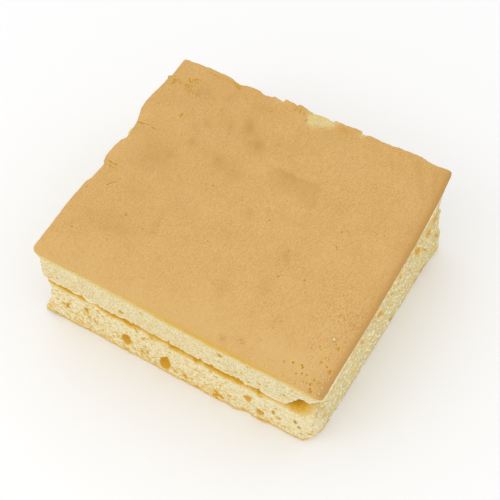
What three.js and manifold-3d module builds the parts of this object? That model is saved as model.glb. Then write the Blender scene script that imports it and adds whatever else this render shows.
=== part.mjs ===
// Trifle sponge: a hand-cut block of plain sponge cake, two layers lying one on the other.
// The upper layer carries a browned skin, and both layers show open crumb with pores on their cut sides.
// Millimetres, +Z up. The front face looks along -Y, and the origin is under the middle of the block.
import * as THREE from "three";
import { mergeVertices } from "three/addons/utils/BufferGeometryUtils.js";
import Module from "manifold-3d";

const wasm = await Module();
wasm.setup();

// The block's nominal rectangle, and the heights of its top and of the split at its four corners
const blockWidth = 160;
const blockDepth = 144;
const halfWidth = blockWidth / 2;
const halfDepth = blockDepth / 2;
const topCorners = { frontLeft: 58.5, frontRight: 52, backLeft: 64, backRight: 62 };
const splitCorners = { frontLeft: 36, frontRight: 29.5, backLeft: 41, backRight: 34.5 };
const layerGap = 0.4;

// The layers are made this much too thick where they lie on something, and trimmed flat there
const trimAllowance = 0.8;

// The upper layer droops along its right edge, and less so towards the front corner
const rightDroop = { from: 68, to: 82, drop: 1.2, frontDrop: 1 };

// Shallow dents (minus) and swellings (plus) of the browned top: place, reach and height
const topRelief = [
  { x: -21, y: 44, reachX: 10, reachY: 8, height: -1.3 },
  { x: 10, y: 28, reachX: 15, reachY: 6, height: -1.1 },
  { x: -56, y: 10, reachX: 14, reachY: 9, height: -1.3 },
  { x: -56, y: -38, reachX: 16, reachY: 10, height: -0.9 },
  { x: -60, y: 56, reachX: 9, reachY: 6, height: -0.9 },
  { x: 30, y: -12, reachX: 8, reachY: 7, height: -0.6 },
  { x: 11, y: -41, reachX: 9, reachY: 7, height: -0.6 },
  { x: -36, y: 24, reachX: 10, reachY: 9, height: 0.8 },
  { x: -64, y: 32, reachX: 9, reachY: 8, height: 0.9 },
  { x: 40, y: 46, reachX: 20, reachY: 14, height: 0.7 },
  { x: 5, y: -20, reachX: 24, reachY: 16, height: 0.6 },
  { x: -62, y: -4, reachX: 9, reachY: 6, height: 0.7 },
];

// How far each side of a layer stands outside the nominal rectangle: all along, by a lean from one end
// to the other with more of it at the foot, by a flare from foot to top, and in swells (plus) or hollows
// (minus) that fade to the foot and, by a power, towards the middle of the top
const swellAtFoot = 0.4;
const swellFade = 6;
const upperLayer = {
  nominalHeight: 23,
  segments: { x: 44, y: 40, z: 4 },
  cornerRadius: 3.5,
  topRadius: 1.2,
  bottomRadius: 0.8,
  sides: {
    left: {
      out: 0.5,
      lean: 0,
      footLean: 0,
      flare: 0,
      swells: [
        { at: 40, span: 16, out: 2.4 },
        { at: 15, span: 6.5, out: -2.6 },
        { at: -16, span: 6, out: -2 },
        { at: -45, span: 22, out: 0.6 },
      ],
    },
    right: { out: 1.4, lean: 0.006, footLean: 0.016, flare: 0.5, swells: [{ at: 74, span: 14, out: -1.6 }] },
    front: {
      out: 0,
      lean: 0,
      footLean: 0,
      flare: 0.8,
      swells: [
        { at: -50, span: 18, out: -0.5 },
        { at: 20, span: 16, out: 0.4 },
      ],
    },
    back: {
      out: 0.9,
      lean: 0,
      footLean: 0,
      flare: 0,
      swells: [
        { at: -44, span: 5, out: -1.8 },
        { at: -27, span: 4, out: -1.4 },
        { at: 66, span: 10, out: -0.9 },
      ],
    },
  },
  floor: (x, y) => splitUnderUpper(x, y) - trimAllowance,
  roof: topOfBlock,
};

const lowerLayer = {
  nominalHeight: 35,
  segments: { x: 40, y: 36, z: 6 },
  cornerRadius: 4.5,
  topRadius: 3.4,
  bottomRadius: 1.4,
  sides: {
    left: { out: -2, lean: 0, footLean: 0, flare: 0, swells: [{ at: 30, span: 20, out: 0.8 }] },
    right: { out: 0.3, lean: 0.024, footLean: 0, flare: 1, swells: [{ at: -72, span: 14, out: -0.8 }] },
    front: {
      out: -0.9,
      lean: 0,
      footLean: 0,
      flare: -0.4,
      swells: [
        { at: 15, span: 30, out: 1.6 },
        { at: 58, span: 14, out: -0.5 },
      ],
    },
    back: { out: -0.3, lean: 0, footLean: 0, flare: 0, swells: [{ at: -20, span: 26, out: 0.8 }] },
  },
  floor: () => -trimAllowance,
  roof: (x, y) => splitOverLower(x, y) + trimAllowance - shoulderSink(x, y),
};

// Along the front the lower layer's top sinks away under the upper layer, most at the right end
const frontShoulder = { wide: 10, leftSink: 1.5, rightSink: 3 };

// A pocket under the upper layer at the front right corner, open to the front and rising to the right,
// and crumb missing under its back right corner: centres, half sizes and the tilt of the width in degrees
const cornerHollows = [
  { x: 69.5, y: -72, z: 32.5, halfX: 12.5, halfY: 11, halfZ: 7.5, tilt: -38 },
  { x: 83, y: 74, z: 36, halfX: 5.5, halfY: 8, halfZ: 10, tilt: 0 },
];

// Pores of the lower layer's front face: centre, size and depth
const frontPores = [
  { x: -30, z: 14.8, wide: 6.4, tall: 9.5, deep: 3.2 },
  { x: -6.9, z: 10.2, wide: 7.4, tall: 12, deep: 3.6 },
  { x: 41.2, z: 17.5, wide: 5, tall: 6, deep: 3 },
  { x: 48.5, z: 9.9, wide: 5.4, tall: 5.4, deep: 3 },
  { x: 24.3, z: 5.8, wide: 4.4, tall: 6.4, deep: 2.4 },
  { x: -52.8, z: 24.9, wide: 3, tall: 4.4, deep: 2.2 },
  { x: -66.9, z: 19.6, wide: 4, tall: 3.6, deep: 2.2 },
  { x: 69.2, z: 16.4, wide: 3.8, tall: 3.4, deep: 2 },
];

// Pores strewn over the other sides of the lower layer
const strewnPores = {
  perSide: 7,
  lowest: 6,
  highest: 24,
  smallest: 3,
  largest: 6.2,
  flattest: 0.8,
  tallest: 1.6,
  depthShare: 0.55,
  endMargin: 12,
  spacing: 11,
};

// Small pores of the upper layer's front face, then teeth torn out of its lower lip
const upperPores = [
  { x: 26.3, z: 46.6, wide: 3.2, tall: 2.8, deep: 1.8 },
  { x: -30.5, z: 40.2, wide: 3, tall: 3, deep: 1.8 },
];
const lipTeeth = {
  first: -70,
  last: 52,
  count: 11,
  wander: 6,
  wide: 3.4,
  shortest: 2,
  tallest: 4.6,
  deep: 1.8,
};

// Scraps of skin and crumb missing from the rim of the top: centre and half sizes
const rimBites = [
  { x: 4.5, y: 72.5, halfX: 6.6, halfY: 7.5, halfZ: 2.4 },
  { x: -18, y: 74, halfX: 1.8, halfY: 4.2, halfZ: 5 },
  { x: 29.5, y: 74, halfX: 1.7, halfY: 4.2, halfZ: 3.5 },
  { x: -44.5, y: 74.5, halfX: 3, halfY: 4, halfZ: 4 },
  { x: -80.5, y: 15, halfX: 2.8, halfY: 5, halfZ: 3.2 },
  { x: -81, y: -16, halfX: 2.8, halfY: 4.6, halfZ: 3 },
];

// Cracks in the skin: centre, length, and the turn of the length from +X in degrees
const skinCracks = [
  { x: -75, y: 22, long: 9, turn: -8 },
  { x: -68.5, y: 58.5, long: 9, turn: 55 },
  { x: -68, y: -15.5, long: 8, turn: -20 },
  { x: -70, y: -21, long: 6, turn: -25 },
  { x: -43, y: 68, long: 7, turn: 80 },
];
const crackWidth = 1.4;
const crackDepth = 1.5;

// A scrap of crumb that stands out at the front left foot of the lower layer, and the front right foot's
// worn corner
const footScrap = { x: -77.2, y: -67.5, z: 5, halfX: 5, halfY: 5, halfZ: 2.6, tilt: -20 };
const wornCorner = { x: 81.5, y: -75, z: -1, halfX: 8, halfY: 7.5, halfZ: 10 };

const skinColour = 0xdbae6c;
const crumbColour = 0xe6d5a0;
const spongeRoughness = 0.92;
const randomSeed = 20417;

// A height between four corner heights, at a place on the rectangle
function heightOver(corners, x, y) {
  const across = x / blockWidth + 0.5;
  const along = y / blockDepth + 0.5;
  const front = THREE.MathUtils.lerp(corners.frontLeft, corners.frontRight, across);
  const back = THREE.MathUtils.lerp(corners.backLeft, corners.backRight, across);
  return THREE.MathUtils.lerp(front, back, along);
}

// The flat faces on both sides of the split
function splitUnderUpper(x, y) {
  return heightOver(splitCorners, x, y) + layerGap / 2;
}

function splitOverLower(x, y) {
  return heightOver(splitCorners, x, y) - layerGap / 2;
}

function shoulderSink(x, y) {
  const sink = THREE.MathUtils.lerp(frontShoulder.leftSink, frontShoulder.rightSink, x / blockWidth + 0.5);
  const inward = THREE.MathUtils.clamp((y + halfDepth) / frontShoulder.wide, 0, 1);
  return sink * (1 - inward) ** 2;
}

function topOfBlock(x, y) {
  let height = heightOver(topCorners, x, y);
  const drop = THREE.MathUtils.lerp(rightDroop.frontDrop, rightDroop.drop, y / blockDepth + 0.5);
  height -= drop * THREE.MathUtils.smoothstep(x, rightDroop.from, rightDroop.to);
  for (const spot of topRelief) {
    const away = ((x - spot.x) / spot.reachX) ** 2 + ((y - spot.y) / spot.reachY) ** 2;
    height += spot.height * Math.exp(-away);
  }
  return height;
}

function sideOut(side, along, level) {
  const share = THREE.MathUtils.lerp(swellAtFoot, 1, level);
  let out = side.out + side.flare * (level - 0.5);
  out += (side.lean + side.footLean * (1 - level)) * along;
  for (const swell of side.swells) {
    out += share * swell.out * Math.exp(-(((along - swell.at) / swell.span) ** 2));
  }
  return out;
}

// Rounds the edge where two sides of a box meet: the last radius of each is bent into an arc
function roundEdge(a, b, halfA, halfB, radius) {
  const overA = Math.abs(a) - (halfA - radius);
  const overB = Math.abs(b) - (halfB - radius);
  if (overA <= 0 || overB <= 0) return [a, b];
  const shrink = Math.max(overA, overB) / Math.hypot(overA, overB);
  return [
    Math.sign(a) * (halfA - radius + overA * shrink),
    Math.sign(b) * (halfB - radius + overB * shrink),
  ];
}

// Where a point of the unit box goes in a layer: box, rounded edges, uneven sides, then floor and roof
function placeInLayer(layer, unit) {
  const halfHeight = layer.nominalHeight / 2;
  const edgeRadius = unit.z > 0 ? layer.topRadius : layer.bottomRadius;
  let x = unit.x * halfWidth;
  let y = unit.y * halfDepth;
  let z = unit.z * halfHeight;
  [x, y] = roundEdge(x, y, halfWidth, halfDepth, layer.cornerRadius);
  [x, z] = roundEdge(x, z, halfWidth, halfHeight, edgeRadius);
  [y, z] = roundEdge(y, z, halfDepth, halfHeight, edgeRadius);
  const { left, right, front, back } = layer.sides;
  const level = z / layer.nominalHeight + 0.5;
  const outX = sideOut(x > 0 ? right : left, y, level) * Math.abs(x / halfWidth) ** swellFade;
  const outY = sideOut(y > 0 ? back : front, x, level) * Math.abs(y / halfDepth) ** swellFade;
  const placed = new THREE.Vector3(x + Math.sign(x) * outX, y + Math.sign(y) * outY, 0);
  const low = layer.floor(placed.x, placed.y);
  const high = layer.roof(placed.x, placed.y);
  placed.z = THREE.MathUtils.lerp(low, high, level);
  return placed;
}

// The grid of the box is closer towards its edges, where the rounding is
function closerAtEnds(u) {
  const spread = 0.45;
  return u * (1 + spread * (1 - Math.abs(u)));
}

function layerGeometry(layer) {
  const { x, y, z } = layer.segments;
  const geometry = positionsOnly(new THREE.BoxGeometry(2, 2, 2, x, y, z));
  const points = geometry.attributes.position;
  const unit = new THREE.Vector3();
  for (let i = 0; i < points.count; i++) {
    unit.fromBufferAttribute(points, i);
    unit.set(closerAtEnds(unit.x), closerAtEnds(unit.y), unit.z);
    const placed = placeInLayer(layer, unit);
    points.setXYZ(i, placed.x, placed.y, placed.z);
  }
  return geometry;
}

function positionsOnly(geometry) {
  geometry.deleteAttribute("normal");
  geometry.deleteAttribute("uv");
  return mergeVertices(geometry, 1e-5);
}

function solidFrom(geometry) {
  const vertProperties = Float32Array.from(geometry.attributes.position.array);
  const triVerts = Uint32Array.from(geometry.index.array);
  return new wasm.Manifold(new wasm.Mesh({ numProp: 3, vertProperties, triVerts }));
}

function geometryFrom(solid) {
  const mesh = solid.getMesh();
  const geometry = new THREE.BufferGeometry();
  geometry.setAttribute("position", new THREE.BufferAttribute(mesh.vertProperties, 3));
  geometry.setIndex(new THREE.BufferAttribute(mesh.triVerts, 1));
  geometry.computeVertexNormals();
  return geometry;
}

// A ball squeezed to half sizes, tilted about Y and turned about Z: pits, bites, cracks and scraps
function blob(centre, half, { tilt = 0, turn = 0, detail = 1 } = {}) {
  const geometry = positionsOnly(new THREE.IcosahedronGeometry(1, detail));
  geometry.scale(half.x, half.y, half.z);
  geometry.rotateY(THREE.MathUtils.degToRad(tilt));
  geometry.rotateZ(THREE.MathUtils.degToRad(turn));
  geometry.translate(centre.x, centre.y, centre.z);
  return solidFrom(geometry);
}

function halfSizes({ halfX, halfY, halfZ }) {
  return { x: halfX, y: halfY, z: halfZ };
}

// A thick plate whose lower face (or upper face, if it lies below) follows a flat slope
function trimmingPlate(slope, isAbove) {
  const plate = positionsOnly(new THREE.BoxGeometry(2 * blockWidth, 2 * blockDepth, blockWidth));
  plate.translate(0, 0, ((isAbove ? 1 : -1) * blockWidth) / 2);
  const points = plate.attributes.position;
  for (let i = 0; i < points.count; i++) {
    points.setZ(i, points.getZ(i) + slope(points.getX(i), points.getY(i)));
  }
  return solidFrom(plate);
}

function frontPit(layer, pore) {
  const y = -halfDepth - sideOut(layer.sides.front, pore.x, 0.5);
  return blob({ x: pore.x, y, z: pore.z }, { x: pore.wide / 2, y: pore.deep, z: pore.tall / 2 });
}

// A repeatable run of random numbers from 0 to 1
function seededRandom(seed) {
  let state = seed;
  return () => {
    state = (Math.imul(state, 1664525) + 1013904223) >>> 0;
    return state / 4294967296;
  };
}

// Pits strewn over the left, right and back sides, none close to another
function strewnPits(layer) {
  const random = seededRandom(randomSeed);
  const pits = [];
  for (const name of ["left", "right", "back"]) {
    const reach = (name === "back" ? halfWidth : halfDepth) - strewnPores.endMargin;
    const taken = [];
    while (taken.length < strewnPores.perSide) {
      const along = THREE.MathUtils.lerp(-reach, reach, random());
      const z = THREE.MathUtils.lerp(strewnPores.lowest, strewnPores.highest, random());
      const size = THREE.MathUtils.lerp(strewnPores.smallest, strewnPores.largest, random() ** 2);
      const stretch = THREE.MathUtils.lerp(strewnPores.flattest, strewnPores.tallest, random());
      const gaps = taken.map((other) => Math.hypot(other.along - along, other.z - z));
      if (Math.min(...gaps) < strewnPores.spacing) continue;
      taken.push({ along, z });
      const out = sideOut(layer.sides[name], along, 0.5);
      const half = { wide: size / 2, tall: (size * stretch) / 2, deep: size * strewnPores.depthShare };
      if (name === "back") {
        pits.push(blob({ x: along, y: halfDepth + out, z }, { x: half.wide, y: half.deep, z: half.tall }));
      } else {
        const sign = name === "left" ? -1 : 1;
        const centre = { x: sign * (halfWidth + out), y: along, z };
        pits.push(blob(centre, { x: half.deep, y: half.wide, z: half.tall }));
      }
    }
  }
  return pits;
}

function lowerSponge() {
  let solid = solidFrom(layerGeometry(lowerLayer));
  solid = solid.subtract(trimmingPlate(() => 0, false));
  solid = solid.subtract(trimmingPlate(splitOverLower, true));
  solid = solid.add(blob(footScrap, halfSizes(footScrap), { tilt: footScrap.tilt }));
  solid = solid.subtract(blob(wornCorner, halfSizes(wornCorner), { detail: 2 }));
  for (const pore of frontPores) solid = solid.subtract(frontPit(lowerLayer, pore));
  for (const pit of strewnPits(lowerLayer)) solid = solid.subtract(pit);
  return geometryFrom(solid);
}

function upperSponge() {
  let solid = solidFrom(layerGeometry(upperLayer));
  solid = solid.subtract(trimmingPlate(splitUnderUpper, false));
  for (const hollow of cornerHollows) {
    solid = solid.subtract(blob(hollow, halfSizes(hollow), { tilt: hollow.tilt, detail: 2 }));
  }
  for (const pore of upperPores) solid = solid.subtract(frontPit(upperLayer, pore));
  const { first, last, count, wander, wide, shortest, tallest, deep } = lipTeeth;
  const random = seededRandom(randomSeed);
  for (let i = 0; i < count; i++) {
    const x = THREE.MathUtils.lerp(first, last, i / (count - 1)) + wander * (random() - 0.5);
    const z = heightOver(splitCorners, x, -halfDepth);
    const tall = THREE.MathUtils.lerp(shortest, tallest, random());
    solid = solid.subtract(frontPit(upperLayer, { x, z, wide, tall, deep }));
  }
  for (const bite of rimBites) {
    const centre = { x: bite.x, y: bite.y, z: topOfBlock(bite.x, bite.y) };
    solid = solid.subtract(blob(centre, halfSizes(bite)));
  }
  for (const crack of skinCracks) {
    const centre = { x: crack.x, y: crack.y, z: topOfBlock(crack.x, crack.y) };
    const half = { x: crack.long / 2, y: crackWidth / 2, z: crackDepth };
    solid = solid.subtract(blob(centre, half, { turn: crack.turn, detail: 0 }));
  }
  return geometryFrom(solid);
}

function spongeMesh(name, geometry, color) {
  const material = new THREE.MeshStandardMaterial({ color, roughness: spongeRoughness, metalness: 0 });
  const mesh = new THREE.Mesh(geometry, material);
  mesh.name = name;
  return mesh;
}

const trifleSponge = new THREE.Group();
trifleSponge.add(spongeMesh("upper_sponge", upperSponge(), skinColour));
trifleSponge.add(spongeMesh("lower_sponge", lowerSponge(), crumbColour));

// The origin is put under the middle of the finished block
const extent = new THREE.Box3().setFromObject(trifleSponge);
const middle = extent.getCenter(new THREE.Vector3());
trifleSponge.position.set(-middle.x, -middle.y, -extent.min.z);

export default trifleSponge;
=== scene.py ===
import math
import random

import bmesh
import bpy
import numpy as np
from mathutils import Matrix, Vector, noise


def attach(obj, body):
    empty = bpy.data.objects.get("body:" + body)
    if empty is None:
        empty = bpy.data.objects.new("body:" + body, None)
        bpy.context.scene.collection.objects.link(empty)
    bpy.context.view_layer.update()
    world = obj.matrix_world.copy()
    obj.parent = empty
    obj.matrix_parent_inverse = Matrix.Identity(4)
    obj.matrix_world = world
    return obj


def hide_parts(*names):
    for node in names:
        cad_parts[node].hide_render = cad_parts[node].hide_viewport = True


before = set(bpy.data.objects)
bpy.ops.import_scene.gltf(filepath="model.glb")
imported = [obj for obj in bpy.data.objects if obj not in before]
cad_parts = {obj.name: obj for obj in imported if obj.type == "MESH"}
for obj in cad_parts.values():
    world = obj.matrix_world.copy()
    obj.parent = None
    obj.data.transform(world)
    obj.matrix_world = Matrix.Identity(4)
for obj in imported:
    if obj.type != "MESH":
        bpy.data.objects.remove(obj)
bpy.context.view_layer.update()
print("frame loaded:", sorted(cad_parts))

# Trifle sponge: two layers of plain sponge, the upper one under a browned skin.
# Shapes are worked out in millimetres in the block's own drawing, then put into the frame.
mm = 0.001
drawingToFrame = np.array((0.146, -0.18, 0.0))  # the frame is centred on the block's box

halfWidth, halfDepth = 80.0, 72.0  # of the plain block, before its sides swell
block = {
    "top": {"frontLeft": 58.5, "frontRight": 52.0, "backLeft": 64.0, "backRight": 62.0},
    "split": {"frontLeft": 36.4, "frontRight": 29.2, "backLeft": 41.0, "backRight": 34.5},
    "gap": 0.4,
    "droop": {"start": 68.0, "end": 82.0, "drop": 1.2, "frontDrop": 1.0},
    "swellAtFoot": 0.4,
    "swellFade": 6,
    # dents (minus) and swellings (plus) of the top: x, y, reach in x, reach in y, height
    "relief": [
        (-21, 44, 10, 8, -1.3), (10, 28, 15, 6, -1.1), (-56, 10, 14, 9, -1.3), (-56, -38, 16, 10, -0.9),
        (-60, 56, 9, 6, -0.9), (30, -12, 8, 7, -0.6), (11, -41, 9, 7, -0.6), (-36, 24, 10, 9, 0.8),
        (-64, 32, 9, 8, 0.9), (40, 46, 20, 14, 0.7), (5, -20, 24, 16, 0.6), (-62, -4, 9, 6, 0.7),
    ],
}
# parts of the block: where each one starts and is full, along x, y, z or the level within a layer
zones = {
    "scrap": {"x": (-68, -75)},
    "frontFoot": {"y": (-66, -71), "z": (6, 1)},
    "wornCorner": {"x": (68, 77), "y": (-60, -70), "z": (9, 0)},
    "thinCorner": {"x": (75.5, 78), "y": (-64, -70), "z": (18, 24)},
    "backRight": {"x": (66, 80), "y": (50, 71)},
    "cornerFoot": {"z": (8, 4)},
    "underSkin": {"level": (0.8, 1)},
    "flare": {"x": (-70, -77), "level": (0.72, 1)},
    "frontLip": {"y": (-60, -70)},
    "lowerLip": {"level": (0.22, 0)},
    "dragged": {"x": (74, 79), "y": (-66, -60), "level": (0.2, 0)},
    "wiped": {"y": (-73, -66)},
    "wipedCorner": {"x": (77.6, 79.2), "z": (20, 26)},
    "browned": {"z": (36, 45)},
    "paler": {"x": (15, 60)},
    "back": {"y": (-10, 60)},
}


# Shapes
def ease(low, high, value):
    t = np.clip((value - low) / (high - low), 0, 1)
    return t * t * (3 - 2 * t)


def bell(value, middle, span):
    return np.exp(-(((value - middle) / span) ** 2))


def within(zone, **places):
    # 1 well inside a zone, 0 outside it, smooth between
    share = 1.0
    for direction, (start, full) in zones[zone].items():
        share = share * ease(start, full, places[direction])
    return share


def patches(x, y, rows):
    # soft oval patches, added up: x, y, reach in x, reach in y, strength
    return sum(strength * bell(x, px, rx) * bell(y, py, ry) for px, py, rx, ry, strength in rows)


def turnedOval(x, y, direction, along, across):
    # a soft oval about 0, its length along one direction
    c, s = direction
    return bell(x * c + y * s, 0, along) * bell(y * c - x * s, 0, across)


def heightOver(corners, x, y):
    across = x / (2 * halfWidth) + 0.5
    along = y / (2 * halfDepth) + 0.5
    front = corners["frontLeft"] + (corners["frontRight"] - corners["frontLeft"]) * across
    back = corners["backLeft"] + (corners["backRight"] - corners["backLeft"]) * across
    return front + (back - front) * along


def topOfBlock(x, y):
    droop = block["droop"]
    along = y / (2 * halfDepth) + 0.5
    drop = droop["frontDrop"] + (droop["drop"] - droop["frontDrop"]) * along
    height = heightOver(block["top"], x, y) - drop * ease(droop["start"], droop["end"], x)
    return height + patches(x, y, block["relief"])


def sideOut(side, along, level):
    # how far a side stands out of the plain block, from its outline or from its swellings
    flare = side.get("flare", 0.0)
    if "outline" in side:
        places, reaches = zip(*side["outline"])
        return np.interp(along, places, reaches) + flare * level
    share = block["swellAtFoot"] + (1 - block["swellAtFoot"]) * level
    lean = side.get("lean", 0.0) + side.get("footLean", 0.0) * (1 - level)
    out = side["out"] + lean * along + flare * (level - 0.5)
    for at, span, swell in side["swells"]:
        out = out + share * swell * bell(along, at, span)
    return out


def roundEdge(a, b, halfA, halfB, radius):
    overA = np.abs(a) - (halfA - radius)
    overB = np.abs(b) - (halfB - radius)
    bent = (overA > 0) & (overB > 0)
    length = np.where(bent, np.hypot(overA, overB), 1)
    shrink = np.where(bent, np.maximum(overA, overB) / length, 1)
    newA = np.where(bent, np.sign(a) * (halfA - radius + overA * shrink), a)
    newB = np.where(bent, np.sign(b) * (halfB - radius + overB * shrink), b)
    return newA, newB


def placeInLayer(layer, units):
    halfHeight = layer["height"] / 2
    upwards = units[:, 2] > 0
    radius = np.where(upwards, layer["topRadius"], layer["bottomRadius"])
    rightRadius = np.where(upwards, layer["rightTopRadius"], layer["rightBottomRadius"])
    x, y, z = units[:, 0] * halfWidth, units[:, 1] * halfDepth, units[:, 2] * halfHeight
    x, y = roundEdge(x, y, halfWidth, halfDepth, layer["cornerRadius"])
    x, z = roundEdge(x, z, halfWidth, halfHeight, np.where(x > 0, rightRadius, radius))
    y, z = roundEdge(y, z, halfDepth, halfHeight, radius)
    level = z / layer["height"] + 0.5
    sides, fade = layer["sides"], block["swellFade"]
    outX = np.where(x > 0, sideOut(sides["right"], y, level), sideOut(sides["left"], y, level))
    outY = np.where(y > 0, sideOut(sides["back"], x, level), sideOut(sides["front"], x, level))
    x = x + np.sign(x) * outX * np.abs(x / halfWidth) ** fade
    y = y + np.sign(y) * outY * np.abs(y / halfDepth) ** fade
    low, high = layer["floor"](x, y), layer["roof"](x, y)
    return np.stack((x, y, low + (high - low) * level), axis=1), level


def lumps(points, size, seed, octaves=3):
    # soft noise from about -1 to 1, its lumps about one size across
    shift = Vector((seed * 17.3, seed * 5.1, seed * 9.7))
    return np.array([noise.fractal(Vector(p) / size + shift, 1.0, 2.0, octaves) for p in points])


def bubbles(points, size, seed):
    # 0 on the thin walls between the bubbles of the crumb, 1 well inside them
    shift = Vector((seed * 11.9, seed * 3.7, seed * 7.3))
    inside = np.empty(len(points))
    for i, p in enumerate(points):
        near = noise.voronoi(Vector(p) / size + shift)[0]
        inside[i] = near[1] - near[0]
    return np.clip(inside * 1.7, 0, 1)


# Meshes
def addObject(name, data):
    made = bpy.data.objects.new(name, data)
    bpy.context.scene.collection.objects.link(made)
    return made


def makePiece(name, bm):
    mesh = bpy.data.meshes.new(name)
    bm.to_mesh(mesh)
    bm.free()
    return addObject(name, mesh)


def readVectors(items, name):
    values = np.empty(len(items) * 3)
    items.foreach_get(name, values)
    return values.reshape(-1, 3)


def writePoints(mesh, points):
    mesh.vertices.foreach_set("co", points.astype(np.float32).ravel())
    mesh.update()


def paint(mesh, **coats):
    # one value at each point, under each coat's name
    for name, values in coats.items():
        layer = mesh.attributes.new(name, "FLOAT", "POINT")
        layer.data.foreach_set("value", np.asarray(values, dtype=np.float32))


def finishMesh(mesh):
    writePoints(mesh, (readVectors(mesh.vertices, "co") + drawingToFrame) * mm)
    mesh.polygons.foreach_set("use_smooth", np.ones(len(mesh.polygons), dtype=bool))


def inSpots(x, y, spots):
    return any(math.hypot(x - spotX, y - spotY) < reach for spotX, spotY, reach in spots)


def cutFiner(bm, layer, spots):
    # a finer grid along the rim and about some spots of the top
    def isFine(v):
        atRim = max(abs(v.co.x), abs(v.co.y)) > layer["rimStart"]
        return atRim or (v.co.z > -0.5 and inSpots(v.co.x * halfWidth, v.co.y * halfDepth, spots))

    fine = {v for v in bm.verts if isFine(v)}
    edges = [e for e in bm.edges if e.verts[0] in fine and e.verts[1] in fine]
    bmesh.ops.subdivide_edges(bm, edges=edges, cuts=layer["fineCuts"], use_grid_fill=True)


def spongeBlank(layer):
    # a cube cut into a grid, its sides and rims finer again, the flat parts that never show left whole
    bm = bmesh.new()
    bmesh.ops.create_cube(bm, size=2)
    for axis in range(3):
        running = [e for e in bm.edges if abs(e.verts[0].co[axis] - e.verts[1].co[axis]) > 1e-6]
        bmesh.ops.subdivide_edges(bm, edges=running, cuts=layer["columns"][axis] - 1, use_grid_fill=True)
    cutFiner(bm, layer, layer["fineSpots"])
    for height, inside in layer["hidden"]:
        faces = [
            f for f in bm.faces
            if all(abs(v.co.z - height) < 1e-5 and max(abs(v.co.x), abs(v.co.y)) < inside for v in f.verts)
        ]
        bmesh.ops.dissolve_faces(bm, faces=faces, use_verts=True)
    return bm


# Pores of the cut sides
sideNames = ("left", "right", "front", "back")


def sideOf(units):
    reach = np.stack((-units[:, 0], units[:, 0], -units[:, 1], units[:, 1]), axis=1)
    return np.argmax(reach, axis=1)


def rimReach(units):
    # 1 at the sides of the blank, less further in
    return np.maximum(np.abs(units[:, 0]), np.abs(units[:, 1]))


def frontPores(rows):
    names = ("at", "z", "wide", "tall", "deep", "turn", "poreShade")
    return [dict(zip(names, row), side="front") for row in rows]


def strewPores(rng, side, strewn):
    # pores by chance over one side, crowding to its foot
    halfRun = halfDepth if side in ("left", "right") else halfWidth
    small, large = strewn["sizes"]
    lowest, highest = strewn["between"]
    pores = []
    for _ in range(int(strewn["density"] * 2 * halfRun * (highest - lowest))):
        size = small + (large - small) * rng.random() ** 3.5
        pore = {
            "side": side,
            "at": rng.uniform(-halfRun, halfRun),
            "z": lowest + (highest - lowest) * rng.random() ** strewn["crowd"],
            "wide": size * rng.uniform(0.8, 1.6),
            "tall": size * rng.uniform(0.7, 1.2),
            "deep": size * rng.uniform(0.22, 0.42),
            "turn": rng.uniform(-0.7, 0.7),
        }
        if side != "front" or not inSpots(pore["at"], pore["z"], strewn["smoothFront"]):
            pores.append(pore)
    return pores


def sinkPores(rng, pores, side, along, height):
    # how deep the pores lie at each point, and how much painted shade they get
    depth, poreShade = np.zeros(len(along)), np.zeros(len(along))
    for pore in pores:
        phases = [rng.uniform(0, 6.28) for _ in range(3)]
        if pore["side"] != side:
            continue
        reach = max(pore["wide"], pore["tall"]) * 0.75
        near = np.nonzero((np.abs(along - pore["at"]) < reach) & (np.abs(height - pore["z"]) < reach))[0]
        offAlong, offUp = along[near] - pore["at"], height[near] - pore["z"]
        c, s = math.cos(pore["turn"]), math.sin(pore["turn"])
        a = (offAlong * c + offUp * s) / (pore["wide"] / 2)
        b = (offUp * c - offAlong * s) / (pore["tall"] / 2)
        angle = np.arctan2(b, a)
        wavy = 0.16 * np.sin(2 * angle + phases[0]) + 0.12 * np.sin(3 * angle + phases[1])
        wavy = wavy + 0.07 * np.sin(5 * angle + phases[2])
        edge = 1 + wavy * min(1, 1.6 / max(pore["deep"], 0.1)) ** 1.5
        away = np.hypot(a, b) / edge
        bowl = pore["deep"] * np.sqrt(np.clip(1 - away ** 2, 0, 1))
        depth[near] = np.maximum(depth[near], bowl)
        poreShade[near] = np.maximum(poreShade[near], bowl * pore.get("poreShade", 1))
    return depth, poreShade


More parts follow.
